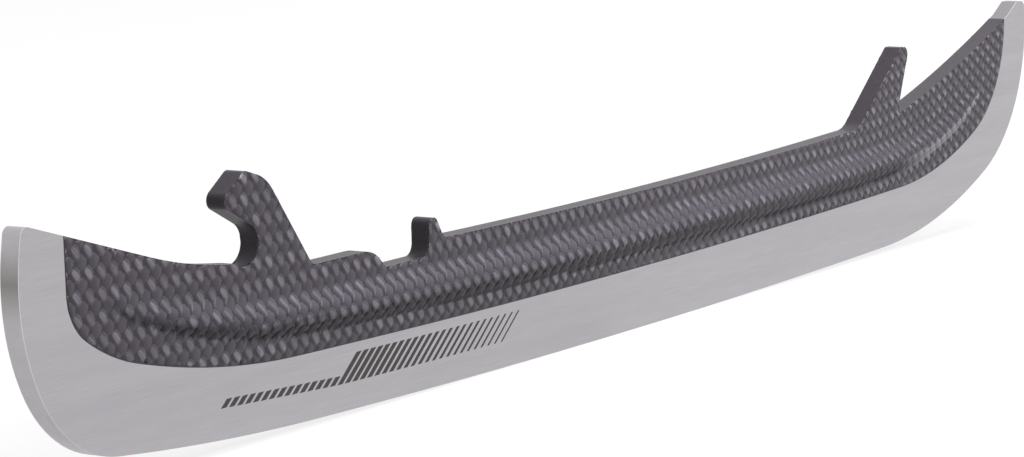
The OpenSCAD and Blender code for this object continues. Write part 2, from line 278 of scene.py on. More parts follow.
streaks, asked = new_effect("streaks", {
    "Place": "NodeSocketVector",
    "Along": "NodeSocketFloat",
    "Across": "NodeSocketFloat",
    "Detail": "NodeSocketFloat",
}, {"Amount": "NodeSocketFloat"})
per_metre = vector(streaks, asked["Along"], asked["Across"], asked["Across"])
stretched = put(streaks, "ShaderNodeVectorMath", {0: asked["Place"], 1: per_metre}, operation="MULTIPLY")
drawn_out = noise(streaks, stretched.outputs[0], scale=1.0, detail=asked["Detail"])
put(streaks, "NodeGroupOutput", {"Amount": drawn_out})


def streaked(tree, place, along, across, detail=4.0):
    """The streaks effect in a material or in another effect."""
    return put(tree, "ShaderNodeGroup", {
        "Place": place,
        "Along": along,
        "Across": across,
        "Detail": detail,
    }, node_tree=streaks).outputs["Amount"]


def between(tree, value, low, high, to_low=0.0, to_high=1.0):
    """value rescaled from low..high to to_low..to_high, and held there."""
    return put(tree, "ShaderNodeMapRange", {
        "Value": value,
        "From Min": low,
        "From Max": high,
        "To Min": to_low,
        "To Max": to_high,
    }).outputs["Result"]


brushed_steel, tree = empty_material("brushed_stainless")
place = object_place(tree)
spot = parts_of(tree, place)
facing = facing_of(tree)
fine = streaked(tree, place, fine_streaks_along, fine_streaks_across)
broad = streaked(tree, place, broad_streaks_along, broad_streaks_across, detail=2.0)
fine_part = maths(tree, "MULTIPLY", fine, fine_streaks_share)
broad_part = maths(tree, "MULTIPLY", broad, 1 - fine_streaks_share)
grain = maths(tree, "ADD", fine_part, broad_part)
lightness = between(tree, grain, grain_colour_from, grain_colour_to)
ground = blend(tree, lightness, steel_streak_colour, steel_colour)
on_edge_face = maths(tree, "LESS_THAN", maths(tree, "ABSOLUTE", facing["Y"]), edge_face_most_y)

# The painted reflection: a darker band across the heel's end face.
off_band = maths(tree, "ABSOLUTE", maths(tree, "SUBTRACT", spot["Z"], reflection_band_z))
in_band = between(tree, off_band, reflection_band_half, 0)
at_heel = maths(tree, "LESS_THAN", spot["X"], reflection_band_to_x)
painted_reflection_band = maths(tree, "MULTIPLY", maths(tree, "MULTIPLY", in_band, at_heel), on_edge_face)
ground = blend(tree, painted_reflection_band, ground, painted_reflection_colour)

# The narrow face of the toe's tip that looks up is darker.
looks_up = maths(tree, "GREATER_THAN", facing["Z"], toe_tip_least_z)
at_tip = between(tree, spot["X"], toe_tip_from, toe_tip_from + toe_tip_fade)
toe_tip = maths(tree, "MULTIPLY", maths(tree, "MULTIPLY", looks_up, at_tip), on_edge_face)
ground = blend(tree, toe_tip, ground, toe_tip_colour)

# The painted highlight: a thin bright line on the cut edge faces, next to each side.
off_middle = maths(tree, "ABSOLUTE", spot["Y"])
near_arris = between(tree, off_middle, steel_half - arris_width, steel_half - arris_width / 2)
arris_highlight = maths(tree, "MULTIPLY", on_edge_face, near_arris)
show(tree, put(tree, "ShaderNodeBsdfPrincipled", {
    "Base Color": blend(tree, arris_highlight, ground, arris_highlight_colour),
    "Metallic": 1.0,
    "Roughness": between(tree, grain, grain_roughness_from, grain_roughness_to,
                         steel_roughness_dull, steel_roughness_bright),
    "Normal": bumped(tree, grain, steel_bump, steel_bump_depth),
}))


def give(node, material):
    """Puts a material on a CAD node."""
    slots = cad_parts[node].data.materials
    slots.clear()
    slots.append(material)


give("steel_runner", brushed_steel)


# The printed bars: a row of slanted dark bars on the near side of the steel, etched and inked at one pitch.
# They start short, turn tall, and thin out towards the middle of the blade until they are fine lines.

bar_count = 39
bar_short_count = 15
bar_pitch = 1.7605 * MM
bar_first_x = -99.35 * MM
bar_lean = 1.25
bar_depth = 0.012 * MM
bar_short_height = 1.1 * MM
bar_tall_height = 3.85 * MM
bar_base_rise = 4.54 * MM
bar_base_fall = 0.74 * MM
bar_width = 1.22 * MM
bar_last_width = 0.42 * MM
bar_thins_from = 0.5
bar_rings = 4
rocker_radius = 3600 * MM
ink_colour = (0.036, 0.029, 0.030, 1)
worn_ink_colour = (0.080, 0.070, 0.073, 1)
ink_roughness = 0.55
ink_wear_along = 300
ink_wear_across = 6000
ink_wear_from = 0.62
ink_wear_full = 0.8

ink, tree = empty_material("etched_ink")
wear = streaked(tree, object_place(tree), ink_wear_along, ink_wear_across)
worn = between(tree, wear, ink_wear_from, ink_wear_full)
show(tree, put(tree, "ShaderNodeBsdfPrincipled", {
    "Base Color": blend(tree, worn, ink_colour, worn_ink_colour),
    "Roughness": ink_roughness,
}))


def new_geometry_tree(name, sizes):
    """A Geometry Nodes tree with a geometry in and out. sizes names its other inputs and their kinds."""
    tree = bpy.data.node_groups.new(name, "GeometryNodeTree")
    tree.interface.new_socket("Geometry", in_out="INPUT", socket_type="NodeSocketGeometry")
    for size, kind in sizes.items():
        tree.interface.new_socket(size, in_out="INPUT", socket_type=kind)
    tree.interface.new_socket("Geometry", in_out="OUTPUT", socket_type="NodeSocketGeometry")
    return tree, tree.nodes.new("NodeGroupInput").outputs


def grow(name, tree, values):
    """Runs a Geometry Nodes tree on an empty object with those values and keeps the mesh that it makes."""
    seed = bpy.data.objects.new(name + "_seed", bpy.data.meshes.new(name + "_seed"))
    scene.collection.objects.link(seed)
    modifier = seed.modifiers.new("grow", "NODES")
    modifier.node_group = tree
    sockets = {item.name: item.identifier for item in tree.interface.items_tree if item.in_out == "INPUT"}
    for size, value in values.items():
        modifier[sockets[size]] = value
    seed.update_tag()
    bpy.context.view_layer.update()
    shown = seed.evaluated_get(bpy.context.evaluated_depsgraph_get())
    mesh = bpy.data.meshes.new_from_object(shown)
    mesh.name = name
    bpy.data.objects.remove(seed)
    piece = bpy.data.objects.new(name, mesh)
    scene.collection.objects.link(piece)
    return piece


def stored(tree, geometry, name, value, kind="FLOAT"):
    """Keeps a value on the geometry's points under that name, for a material or a later node to read."""
    return put(tree, "GeometryNodeStoreNamedAttribute", {
        "Geometry": geometry,
        "Name": name,
        "Value": value,
    }, data_type=kind, domain="POINT").outputs[0]


def recalled(tree, name, kind="FLOAT"):
    """A value kept by stored()."""
    return put(tree, "GeometryNodeInputNamedAttribute", {"Name": name}, data_type=kind).outputs[0]


bars_tree, sizes = new_geometry_tree("slanted bars", {
    "Count": "NodeSocketInt",
    "Short count": "NodeSocketInt",
    "Pitch": "NodeSocketFloat",
    "First X": "NodeSocketFloat",
    "Lean": "NodeSocketFloat",
    "Short height": "NodeSocketFloat",
    "Tall height": "NodeSocketFloat",
    "Base rise": "NodeSocketFloat",
    "Base fall": "NodeSocketFloat",
    "Width": "NodeSocketFloat",
    "Last width": "NodeSocketFloat",
    "Thins from": "NodeSocketFloat",
    "Rings": "NodeSocketInt",
    "Rocker radius": "NodeSocketFloat",
    "Face": "NodeSocketFloat",
    "Depth": "NodeSocketFloat",
    "Material": "NodeSocketMaterial",
})
tree = bars_tree

# The blanks: one unit block for each bar, with its number and its own shape kept on it.
row = put(tree, "GeometryNodeMeshLine", {"Count": sizes["Count"], "Offset": (0, 0, 0)}).outputs[0]
numbered = stored(tree, row, "number", put(tree, "GeometryNodeInputIndex").outputs[0])
block = put(tree, "GeometryNodeMeshCube", {"Size": (1, 1, 1), "Vertices Z": sizes["Rings"]}).outputs["Mesh"]
block_shape = put(tree, "GeometryNodeInputPosition").outputs[0]
blank = stored(tree, block, "blank", block_shape, kind="FLOAT_VECTOR")
set_out = put(tree, "GeometryNodeInstanceOnPoints", {"Points": numbered, "Instance": blank}).outputs[0]
real = put(tree, "GeometryNodeRealizeInstances", {"Geometry": set_out}).outputs[0]
number = recalled(tree, "number")
blank_at = parts_of(tree, recalled(tree, "blank", "FLOAT_VECTOR"))

# Each bar's height, width and foot. The foot stands a few millimetres above the edge that meets the ice.
last_short = maths(tree, "SUBTRACT", sizes["Short count"], 0.5)
is_tall = maths(tree, "GREATER_THAN", number, last_short)
height = between(tree, is_tall, 0, 1, sizes["Short height"], sizes["Tall height"])
progress = maths(tree, "DIVIDE", number, maths(tree, "SUBTRACT", sizes["Count"], 1))
width = between(tree, progress, sizes["Thins from"], 1.0, sizes["Width"], sizes["Last width"])
foot_x = maths(tree, "ADD", sizes["First X"], maths(tree, "MULTIPLY", number, sizes["Pitch"]))
rocker_width = maths(tree, "MULTIPLY", sizes["Rocker radius"], 2)
edge_z = maths(tree, "DIVIDE", maths(tree, "MULTIPLY", foot_x, foot_x), rocker_width)
fallen_rise = maths(tree, "SUBTRACT", sizes["Base rise"], sizes["Base fall"])
base_rise = between(tree, number, 0, sizes["Short count"], sizes["Base rise"], fallen_rise)

# The blocks are drawn up, leaned and laid on the steel's face.
rise = maths(tree, "MULTIPLY", maths(tree, "ADD", blank_at["Z"], 0.5), height)
leaned = maths(tree, "ADD", foot_x, maths(tree, "MULTIPLY", rise, sizes["Lean"]))
bar_x = maths(tree, "ADD", leaned, maths(tree, "MULTIPLY", blank_at["X"], width))
bar_y = maths(tree, "ADD", sizes["Face"], maths(tree, "MULTIPLY", blank_at["Y"], sizes["Depth"]))
bar_z = maths(tree, "ADD", maths(tree, "ADD", edge_z, base_rise), rise)
placed = put(tree, "GeometryNodeSetPosition", {
    "Geometry": real,
    "Position": vector(tree, bar_x, bar_y, bar_z),
}).outputs[0]
inked = put(tree, "GeometryNodeSetMaterial", {"Geometry": placed, "Material": sizes["Material"]}).outputs[0]
put(tree, "NodeGroupOutput", {0: inked})

bars = grow("printed_bars", bars_tree, {
    "Count": bar_count,
    "Short count": bar_short_count,
    "Pitch": bar_pitch,
    "First X": bar_first_x,
    "Lean": bar_lean,
    "Short height": bar_short_height,
    "Tall height": bar_tall_height,
    "Base rise": bar_base_rise,
    "Base fall": bar_base_fall,
    "Width": bar_width,
    "Last width": bar_last_width,
    "Thins from": bar_thins_from,
    "Rings": bar_rings,
    "Rocker radius": rocker_radius,
    "Face": -steel_half,
    "Depth": 2 * bar_depth,
    "Material": ink,
})
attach(bars, "root")


# The bond: a thin film of structural epoxy between the steel and the carbon, and round the tang inside.
# It shows as a fine dark line along the whole joint. The keys are the same resin, in the tang's holes.

bond_colour = (0.018, 0.017, 0.020, 1)
bond_light_colour = (0.05, 0.047, 0.052, 1)
bond_roughness = 0.32
bond_beads_per_metre = 900.0
bond_bump = 0.4
bond_bump_depth = 0.05 * MM

epoxy, tree = empty_material("cured_epoxy")
beads = noise(tree, object_place(tree), bond_beads_per_metre, detail=3.0)
show(tree, put(tree, "ShaderNodeBsdfPrincipled", {
    "Base Color": blend(tree, beads, bond_colour, bond_light_colour),
    "Roughness": bond_roughness,
    "Normal": bumped(tree, beads, bond_bump, bond_bump_depth),
}))
give("epoxy_bond", epoxy)
give("tang_keys", epoxy)


# The carbon core: two moulded halves of stacked carbon plies that close over the steel's tang.
# Only their cut edges show, milled smooth: along the top, in the notch, on the ends of hook, tab and post.
# The stringers under the ribs are of the same carbon and don't show.

ply_colour = (0.024, 0.020, 0.026, 1)
ply_light_colour = (0.078, 0.070, 0.083, 1)
ply_thickness = 0.22 * MM
ply_wander_per_metre = 60.0
ply_line_from = 0.05
ply_line_full = 0.42
mill_marks_along = 900
mill_marks_across = 2500
mill_marks_from = 0.3
mill_marks_full = 0.7
mill_marks_dark = 0.55
cut_edge_roughness = 0.45
cut_edge_gloss = 0.27
cut_edge_bump = 0.25
cut_edge_bump_depth = 0.03 * MM
carbon_glint = (1.0, 0.90, 1.0, 1)

# Milled carbon: fine ply lines that run round the blade, one depth after another, under the cutter's marks.

milled, asked = new_effect("milled carbon", {
    "Place": "NodeSocketVector",
    "Ply thickness": "NodeSocketFloat",
    "Dark": "NodeSocketColor",
    "Light": "NodeSocketColor",
}, {"Colour": "NodeSocketColor", "Height": "NodeSocketFloat"})
wander = noise(milled, asked["Place"], ply_wander_per_metre, detail=2.0)
depth_in_plies = maths(milled, "DIVIDE", parts_of(milled, asked["Place"])["Y"], asked["Ply thickness"])
off_ply_line = maths(milled, "PINGPONG", maths(milled, "ADD", depth_in_plies, wander), 0.5)
in_ply = between(milled, off_ply_line, ply_line_from, ply_line_full)
mill_marks = streaked(milled, asked["Place"], mill_marks_along, mill_marks_across, detail=3.0)
unmarked = between(milled, mill_marks, mill_marks_from, mill_marks_full, mill_marks_dark, 1.0)
lightness = maths(milled, "MULTIPLY", in_ply, unmarked)
put(milled, "NodeGroupOutput", {
    "Colour": blend(milled, lightness, asked["Dark"], asked["Light"]),
    "Height": lightness,
})


def milled_carbon(tree):
    """The milled carbon effect in a material."""
    return put(tree, "ShaderNodeGroup", {
        "Place": object_place(tree),
        "Ply thickness": ply_thickness,
        "Dark": ply_colour,
        "Light": ply_light_colour,
    }, node_tree=milled).outputs


cut_edge, tree = empty_material("milled_carbon_edge")
cut = milled_carbon(tree)
show(tree, put(tree, "ShaderNodeBsdfPrincipled", {
    "Base Color": cut["Colour"],
    "Roughness": cut_edge_roughness,
    "Specular IOR Level": cut_edge_gloss,
    "Specular Tint": carbon_glint,
    "Normal": bumped(tree, cut["Height"], cut_edge_bump, cut_edge_bump_depth),
}))
for node in ("core_left", "core_right", "rib_stringer_left", "rib_stringer_right"):
    give(node, cut_edge)


# The braid skins: a sleeve of carbon tow, braided one over one at about 45 degrees, cured in clear resin.
# Each skin is the frame's own, as a dark resin bed. Every tow is a low pillow on it where it passes over.

tow_pitch_along = 2.53 * MM
tow_pitch_up_heel = 2.90 * MM
tow_pitch_up_toe = 2.15 * MM
tow_columns = 124
tow_rows = 17
tow_first_x = -146.65 * MM
tow_squeeze_from = 20 * MM
tow_squeeze = 0.85
tow_row_zero = 19.6 * MM
tow_rows_below = 6
tow_length = 3.25 * MM
tow_width = 2.3 * MM
tow_height = 0.60 * MM
tow_sink = 0.17 * MM
tow_dive = 0.22 * MM
tow_fullness = 0.75
tow_crown_fullness = 0.7
tow_edge_share = 0.25
tow_segments = 10
tow_rings = 8
tow_seed = 3
trim_halvings = 5
probe_from = 10 * MM
probe_length = 9 * MM
heel_lift = 2.3 * MM
heel_lift_from = -20 * MM
heel_lift_over = 110 * MM
heel_lift_power = 1.5
toe_lift = 10.8 * MM
toe_lift_from = 72 * MM
toe_lift_over = 53 * MM
toe_lift_power = 2.2
bed_colour = (0.022, 0.019, 0.024, 1)
bed_light_colour = (0.045, 0.040, 0.048, 1)
bed_mottle_per_metre = 700.0
bed_wall_most_y = 0.4
bed_roughness = 0.40
bed_gloss = 0.3
bed_bump = 0.4
bed_bump_depth = 0.04 * MM

bed, tree = empty_material("resin_bed")
on_wall = maths(tree, "LESS_THAN", maths(tree, "ABSOLUTE", facing_of(tree)["Y"]), bed_wall_most_y)
mottle = noise(tree, object_place(tree), bed_mottle_per_metre, detail=3.0)
resin = blend(tree, mottle, bed_colour, bed_light_colour)
show(tree, put(tree, "ShaderNodeBsdfPrincipled", {
    "Base Color": blend(tree, on_wall, resin, milled_carbon(tree)["Colour"]),
    "Roughness": bed_roughness,
    "Specular IOR Level": bed_gloss,
    "Specular Tint": carbon_glint,
    "Normal": bumped(tree, mottle, bed_bump, bed_bump_depth),
}))

# Tow: fibres drawn out along it, and a lens of painted highlight on its crown. Lie is the place on it, from
# -1 to 1.
# Flank is how far the face under the tow looks up. The rib's upper flank has a painted cool sheen; its
# lower one has painted shade and less gloss as far as the toe, where it turns into a painted highlight
# along the ridge.

# The two families of tow: the falling ones are painted with a bright highlight, and the rising ones stay
# dark.
falling_dark_colour = (0.041, 0.035, 0.046, 1)
falling_highlight_colour = (0.300, 0.278, 0.325, 1)
falling_lens_length = 0.52
falling_lens_width = 0.34
falling_roughness = 0.34
rising_dark_colour = (0.034, 0.029, 0.038, 1)
rising_highlight_colour = (0.070, 0.063, 0.078, 1)
rising_lens_length = 0.60
rising_lens_width = 0.60
rising_roughness = 0.42

# The fibres and the lens of painted highlight, and how far the tows differ in brightness.
fibres_along = 0.6
fibres_across = 6.0
fibres_scale = 1.6
fibres_apart = 40.0
fibres_dark_from = 0.36
fibres_light_from = 0.62
fibres_dark = 0.45
lens_edge = 1.25
lens_full = 0.35
tone_power = 1.6
tone_least = 0.40
tone_most = 1.05
tow_bump = 0.35
tow_bump_depth = 0.04 * MM

# The two flanks of the rib, by the Z of the way that the face looks: painted sheen on the upper, painted
# shade on the lower.
upper_flank_from = 0.08
upper_flank_full = 0.40
upper_flank_lens = 0.62
sheen_share = 0.28
painted_sheen_colour = (0.150, 0.148, 0.190, 1)
lower_flank_from = -0.05
lower_flank_full = -0.42
shade_share = 0.80
painted_shade_colour = (0.016, 0.014, 0.017, 1)
plain_gloss = 0.5
shade_gloss = 0.16
shade_gloss_from = 0.8

# The painted highlight along the toe's ridge, which the lower flank turns into between these two places.
toe_from = 90 * MM
toe_full = 103 * MM
ridge_from = -0.03
ridge_full = -0.12
ridge_fibres_dark_from = 0.3
ridge_fibres_light_from = 0.6
ridge_least = 0.35
ridge_most = 0.9
ridge_highlight_colour = (0.41, 0.39, 0.44, 1)

tow, asked = new_effect("resin-wetted tow", {
    "Lie": "NodeSocketVector",
    "Tone": "NodeSocketFloat",
    "Flank": "NodeSocketFloat",
    "At toe": "NodeSocketFloat",
    "Lens length": "NodeSocketFloat",
    "Lens width": "NodeSocketFloat",
    "Dark": "NodeSocketColor",
    "Bright": "NodeSocketColor",
    "Sheen": "NodeSocketColor",
    "Shade": "NodeSocketColor",
    "Ridge highlight": "NodeSocketColor",
}, {"Colour": "NodeSocketColor", "Height": "NodeSocketFloat", "Gloss": "NodeSocketFloat"})


def squared(tree, value, unit):
    """The square of a value that is counted in that unit."""
    return maths(tree, "POWER", maths(tree, "ABSOLUTE", maths(tree, "DIVIDE", value, unit)), 2)


lie = parts_of(tow, asked["Lie"])
fibre_x = maths(tow, "MULTIPLY", lie["X"], fibres_along)
fibre_y = maths(tow, "MULTIPLY", lie["Y"], fibres_across)
fibre_z = maths(tow, "MULTIPLY", asked["Tone"], fibres_apart)
fibres = noise(tow, vector(tow, fibre_x, fibre_y, fibre_z), fibres_scale, detail=3.0)

# The painted highlight: a lens on the crown, narrower on the upper flank, broken by the fibres.
narrowed = between(tow, asked["Flank"], upper_flank_from, upper_flank_full, 1.0, upper_flank_lens)
lens_width = maths(tow, "MULTIPLY", asked["Lens width"], narrowed)
off_lengthwise = squared(tow, lie["X"], asked["Lens length"])
off_sideways = squared(tow, lie["Y"], lens_width)
lens = between(tow, maths(tow, "ADD", off_lengthwise, off_sideways), lens_edge, lens_full)
fibre_light = between(tow, fibres, fibres_dark_from, fibres_light_from, fibres_dark, 1.0)
own_light = between(tow, maths(tow, "POWER", asked["Tone"], tone_power), 0, 1, tone_least, tone_most)
light = maths(tow, "MULTIPLY", maths(tow, "MULTIPLY", lens, fibre_light), own_light)
colour = blend(tow, light, asked["Dark"], asked["Bright"])

# Painted sheen on the upper flank.
sheen = between(tow, asked["Flank"], upper_flank_from, upper_flank_full, 0, sheen_share)
colour = blend(tow, sheen, colour, asked["Sheen"])

# Painted shade on the lower flank, as far as the toe, with less gloss.
looks_down = between(tow, asked["Flank"], lower_flank_from, lower_flank_full)
before_toe = maths(tow, "SUBTRACT", 1, asked["At toe"])
shade = maths(tow, "MULTIPLY", looks_down, before_toe)
colour = blend(tow, maths(tow, "MULTIPLY", shade, shade_share), colour, asked["Shade"])
gloss = between(tow, shade, 0, shade_gloss_from, plain_gloss, shade_gloss)

# The painted highlight that the lower flank turns into near the toe, broken by the fibres.
on_ridge_highlight = maths(tow, "MULTIPLY", between(tow, asked["Flank"], ridge_from, ridge_full), asked["At toe"])
ridge_light = between(tow, fibres, ridge_fibres_dark_from, ridge_fibres_light_from, ridge_least, ridge_most)
colour = blend(tow, maths(tow, "MULTIPLY", on_ridge_highlight, ridge_light), colour, asked["Ridge highlight"])
put(tow, "NodeGroupOutput", {"Colour": colour, "Height": fibres, "Gloss": gloss})


def kept_on_tow(tree, name, output="Fac"):
    """A value that the braid's tree keeps on the tows."""
    return put(tree, "ShaderNodeAttribute", attribute_name=name).outputs[output]


def tow_material(name, dark, bright, lens_length, lens_width, roughness):
    """Carbon tow under clear resin, with its painted highlight, sheen and shade."""
    material, tree = empty_material(name)
    look = put(tree, "ShaderNodeGroup", {
        "Lie": kept_on_tow(tree, "lie", "Vector"),
        "Tone": kept_on_tow(tree, "tone"),
        "Flank": kept_on_tow(tree, "flank"),
        "At toe": between(tree, parts_of(tree, object_place(tree))["X"], toe_from, toe_full),
        "Lens length": lens_length,
        "Lens width": lens_width,
        "Dark": dark,
        "Bright": bright,
        "Sheen": painted_sheen_colour,
        "Shade": painted_shade_colour,
        "Ridge highlight": ridge_highlight_colour,
    }, node_tree=tow).outputs
    show(tree, put(tree, "ShaderNodeBsdfPrincipled", {
        "Base Color": look["Colour"],
        "Roughness": roughness,
        "Specular IOR Level": look["Gloss"],
        "Specular Tint": carbon_glint,
        "Normal": bumped(tree, look["Height"], tow_bump, tow_bump_depth),
    }))
    return material


falling_tow = tow_material("falling_tow", falling_dark_colour, falling_highlight_colour,
                           falling_lens_length, falling_lens_width, falling_roughness)
rising_tow = tow_material("rising_tow", rising_dark_colour, rising_highlight_colour,
                          rising_lens_length, rising_lens_width, rising_roughness)

braid_tree, sizes = new_geometry_tree("braid over a face", {
    "Face": "NodeSocketObject",
    "Side": "NodeSocketFloat",
    "Fall": "NodeSocketFloat",
    "Half step": "NodeSocketFloat",
    "Pitch along": "NodeSocketFloat",
    "Pitch up at heel": "NodeSocketFloat",
    "Pitch up at toe": "NodeSocketFloat",
    "Columns": "NodeSocketInt",
    "Rows": "NodeSocketInt",
    "Rows below": "NodeSocketInt",
    "First X": "NodeSocketFloat",
    "Squeeze from": "NodeSocketFloat",
    "Squeeze": "NodeSocketFloat",
    "Row zero Z": "NodeSocketFloat",
    "Heel lift": "NodeSocketFloat",
    "Heel lift from": "NodeSocketFloat",
    "Heel lift over": "NodeSocketFloat",
    "Heel lift power": "NodeSocketFloat",
    "Toe lift": "NodeSocketFloat",
    "Toe lift from": "NodeSocketFloat",
    "Toe lift over": "NodeSocketFloat",
    "Toe lift power": "NodeSocketFloat",
    "Face Y": "NodeSocketFloat",
    "Length": "NodeSocketFloat",
    "Width": "NodeSocketFloat",
    "Height": "NodeSocketFloat",
    "Sink": "NodeSocketFloat",
    "Dive": "NodeSocketFloat",
    "Fullness": "NodeSocketFloat",
    "Crown fullness": "NodeSocketFloat",
    "Edge share": "NodeSocketFloat",
    "Segments": "NodeSocketInt",
    "Rings": "NodeSocketInt",
    "Probe from": "NodeSocketFloat",
    "Probe length": "NodeSocketFloat",
    "Seed": "NodeSocketInt",
    "Material": "NodeSocketMaterial",
})
tree = braid_tree

# The lattice: one point for each crossing, in columns and rows. The rows are lifted at heel and toe.
index = put(tree, "GeometryNodeInputIndex").outputs[0]
column = maths(tree, "FLOORED_MODULO", index, sizes["Columns"])
row_number = maths(tree, "FLOOR", maths(tree, "DIVIDE", index, sizes["Columns"]))
step_x = maths(tree, "ADD", column, sizes["Half step"])
step_z = maths(tree, "SUBTRACT", maths(tree, "ADD", row_number, sizes["Half step"]), sizes["Rows below"])

# Towards the toe the columns close up: X loses Squeeze times the square of the way past Squeeze from.
even_x = maths(tree, "ADD", sizes["First X"], maths(tree, "MULTIPLY", step_x, sizes["Pitch along"]))
past_even = maths(tree, "MAXIMUM", maths(tree, "SUBTRACT", even_x, sizes["Squeeze from"]), 0)
squeezed = maths(tree, "MULTIPLY", sizes["Squeeze"], past_even)
at_x = maths(tree, "SUBTRACT", even_x, maths(tree, "MULTIPLY", squeezed, past_even))
fineness = maths(tree, "SUBTRACT", 1, maths(tree, "MULTIPLY", squeezed, 2))
pitch_along = maths(tree, "MULTIPLY", sizes["Pitch along"], fineness)

# The rows climb by a power of the way into the heel and into the toe, and stand closer near the toe.
past_heel = maths(tree, "SUBTRACT", sizes["Heel lift from"], at_x)
into_heel = maths(tree, "MAXIMUM", maths(tree, "DIVIDE", past_heel, sizes["Heel lift over"]), 0)
heel_curve = maths(tree, "POWER", into_heel, sizes["Heel lift power"])
past_toe = maths(tree, "SUBTRACT", at_x, sizes["Toe lift from"])
into_toe = maths(tree, "MAXIMUM", maths(tree, "DIVIDE", past_toe, sizes["Toe lift over"]), 0)
toe_curve = maths(tree, "POWER", into_toe, sizes["Toe lift power"])
lifted = maths(tree, "ADD", maths(tree, "MULTIPLY", heel_curve, sizes["Heel lift"]),
               maths(tree, "MULTIPLY", toe_curve, sizes["Toe lift"]))
row_z = maths(tree, "ADD", sizes["Row zero Z"], lifted)
pitch_up = between(tree, at_x, sizes["Heel lift from"], sizes["Toe lift from"],
                   sizes["Pitch up at heel"], sizes["Pitch up at toe"])
at_z = maths(tree, "ADD", row_z, maths(tree, "MULTIPLY", step_z, pitch_up))

# A tow runs to the next crossing, one row down or up, and follows the rows where they climb to the toe.
steepness = maths(tree, "DIVIDE", maths(tree, "MULTIPLY", sizes["Toe lift power"], sizes["Toe lift"]),
                  sizes["Toe lift over"])
slope_power = maths(tree, "SUBTRACT", sizes["Toe lift power"], 1)
slope = maths(tree, "MULTIPLY", maths(tree, "POWER", into_toe, slope_power), steepness)
climb = maths(tree, "MULTIPLY", slope, pitch_along)
tow_z = maths(tree, "SUBTRACT", climb, maths(tree, "MULTIPLY", pitch_up, sizes["Fall"]))
tow_turn = put(tree, "FunctionNodeAxesToRotation", {
    "Primary Axis": vector(tree, 0, sizes["Side"], 0),
    "Secondary Axis": vector(tree, pitch_along, 0, tow_z),
}, primary_axis="Z", secondary_axis="X").outputs[0]

# A crossing counts while its tow still reaches the face.
skin_read = put(tree, "GeometryNodeObjectInfo", {"Object": sizes["Face"]}, transform_space="ORIGINAL")
face = skin_read.outputs["Geometry"]
flat_y = maths(tree, "MULTIPLY", sizes["Side"], sizes["Face Y"])
nearest = put(tree, "GeometryNodeProximity", {
    "Geometry": face,
    "Sample Position": vector(tree, at_x, flat_y, at_z),
}, target_element="FACES").outputs
reach = maths(tree, "MULTIPLY", sizes["Length"], 0.5)
is_far_off = maths(tree, "GREATER_THAN", nearest["Distance"], reach)
tone = put(tree, "FunctionNodeRandomValue", {"Seed": sizes["Seed"]}).outputs[1]
count = maths(tree, "MULTIPLY", sizes["Columns"], sizes["Rows"])
points = put(tree, "GeometryNodePoints", {"Count": count}).outputs[0]
crossings = put(tree, "GeometryNodeSetPosition", {
    "Geometry": points,
    "Position": vector(tree, at_x, 0, at_z),
}).outputs[0]
crossings = stored(tree, crossings, "turn", tow_turn, kind="QUATERNION")
crossings = stored(tree, crossings, "tone", tone)
crossings = stored(tree, crossings, "anchor", nearest["Position"], kind="FLOAT_VECTOR")
crossings = stored(tree, crossings, "fineness", fineness)
crossings = stored(tree, crossings, "far off", is_far_off)
crossings = put(tree, "GeometryNodeDeleteGeometry", {
    "Geometry": crossings,
    "Selection": maths(tree, "GREATER_THAN", recalled(tree, "far off"), 0.5),
}, domain="POINT").outputs[0]

# One tow where it passes over: a ball drawn out along the tow, flattened, and bent down at both ends.
ball = put(tree, "GeometryNodeMeshUVSphere", {
    "Segments": sizes["Segments"],
    "Rings": sizes["Rings"],
    "Radius": 1.0,
}).outputs["Mesh"]
round_at = parts_of(tree, put(tree, "GeometryNodeInputPosition").outputs[0])
round_lie = vector(tree, round_at["Z"], round_at["X"], round_at["Y"])
ball = stored(tree, ball, "lie", round_lie, kind="FLOAT_VECTOR")


def filled(tree, value, power):
    """value in -1..1 pushed out towards its ends: the lower the power, the squarer the ball becomes."""
    size = maths(tree, "POWER", maths(tree, "ABSOLUTE", value), power)
    return maths(tree, "MULTIPLY", size, maths(tree, "SIGN", value))


full_along = filled(tree, round_at["Z"], sizes["Fullness"])
full_across = filled(tree, round_at["X"], sizes["Fullness"])
full_bulge = filled(tree, round_at["Y"], sizes["Crown fullness"])
along = maths(tree, "MULTIPLY", full_along, reach)
across = maths(tree, "MULTIPLY", full_across, maths(tree, "MULTIPLY", sizes["Width"], 0.5))
bulge = maths(tree, "MULTIPLY", full_bulge, maths(tree, "MULTIPLY", sizes["Height"], 0.5))
sag = maths(tree, "MULTIPLY", maths(tree, "POWER", full_along, 2), sizes["Dive"])
low = maths(tree, "ADD", sag, sizes["Sink"])
pillow = put(tree, "GeometryNodeSetPosition", {
    "Geometry": ball,
    "Position": vector(tree, along, across, maths(tree, "SUBTRACT", bulge, low)),
}).outputs[0]
pillow = put(tree, "GeometryNodeSetShadeSmooth", {"Geometry": pillow}).outputs[0]
laid_tows = put(tree, "GeometryNodeInstanceOnPoints", {
    "Points": crossings,
    "Instance": pillow,
    "Rotation": recalled(tree, "turn", "QUATERNION"),
    "Scale": vector(tree, recalled(tree, "fineness"), recalled(tree, "fineness"), 1),
}).outputs[0]
real = put(tree, "GeometryNodeRealizeInstances", {"Geometry": laid_tows}).outputs[0]


def under(tree, x, z):
    """Where a line along the blade's thickness first meets the face."""
    return put(tree, "GeometryNodeRaycast", {
        "Target Geometry": face,
        "Source Position": vector(tree, x, maths(tree, "MULTIPLY", sizes["Side"], sizes["Probe from"]), z),
        "Ray Direction": vector(tree, 0, maths(tree, "MULTIPLY", sizes["Side"], -1), 0),
        "Ray Length": sizes["Probe length"],
    }).outputs


def part_way(tree, start, end, share):
    """The number that lies that share of the way from start to end."""
    return maths(tree, "ADD", start, maths(tree, "MULTIPLY", maths(tree, "SUBTRACT", end, start), share))


